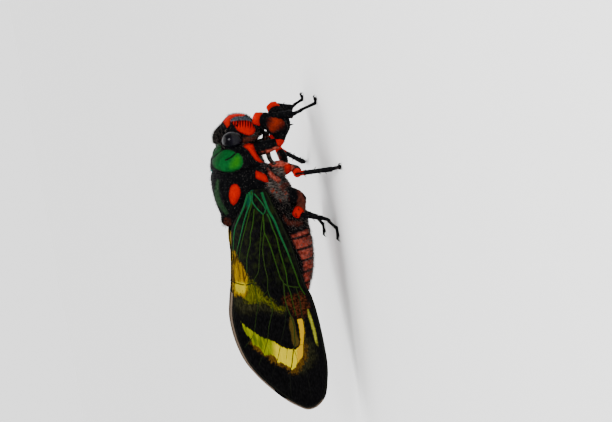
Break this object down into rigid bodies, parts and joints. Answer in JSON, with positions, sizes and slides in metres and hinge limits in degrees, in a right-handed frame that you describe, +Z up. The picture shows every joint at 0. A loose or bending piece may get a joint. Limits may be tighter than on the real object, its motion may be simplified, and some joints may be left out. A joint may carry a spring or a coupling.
{
  "type": "carineta diardi cicada model",
  "caption": "Life-size still model of a black, red and green cicada standing on its legs, with roof-folded patterned wings.",
  "frame": {"origin": "middle of the footprint box on the floor that the feet stand on", "axes": "+X along the body towards the head, +Y to the animal's left, +Z up"},
  "size_m": [0.0422, 0.0308, 0.0158],
  "materials": {
    "head": "black chitin with fine hair and a red face",
    "eye": "glossy black compound eye",
    "feeler": "dark satin chitin",
    "thorax": "black chitin with green and red marks",
    "abdomen": "black rings, dark red and downy below",
    "wing": "charcoal membrane with yellow bands and green veins",
    "hindwing": "smoky membrane with dark veins",
    "leg": "black and red satin chitin with short bristles"
  },
  "bodies": {
    "root": {"head": "head", "eye_l": "eye", "eye_r": "eye", "antenna_l": "feeler", "antenna_r": "feeler", "rostrum": "feeler", "pronotum": "thorax", "thorax": "thorax", "abdomen": "abdomen", "forewing_l": "wing", "forewing_r": "wing", "hindwing_l": "hindwing", "hindwing_r": "hindwing", "foreleg_l": "leg", "foreleg_r": "leg", "midleg_l": "leg", "midleg_r": "leg", "hindleg_l": "leg", "hindleg_r": "leg"}
  },
  "joints": []
}
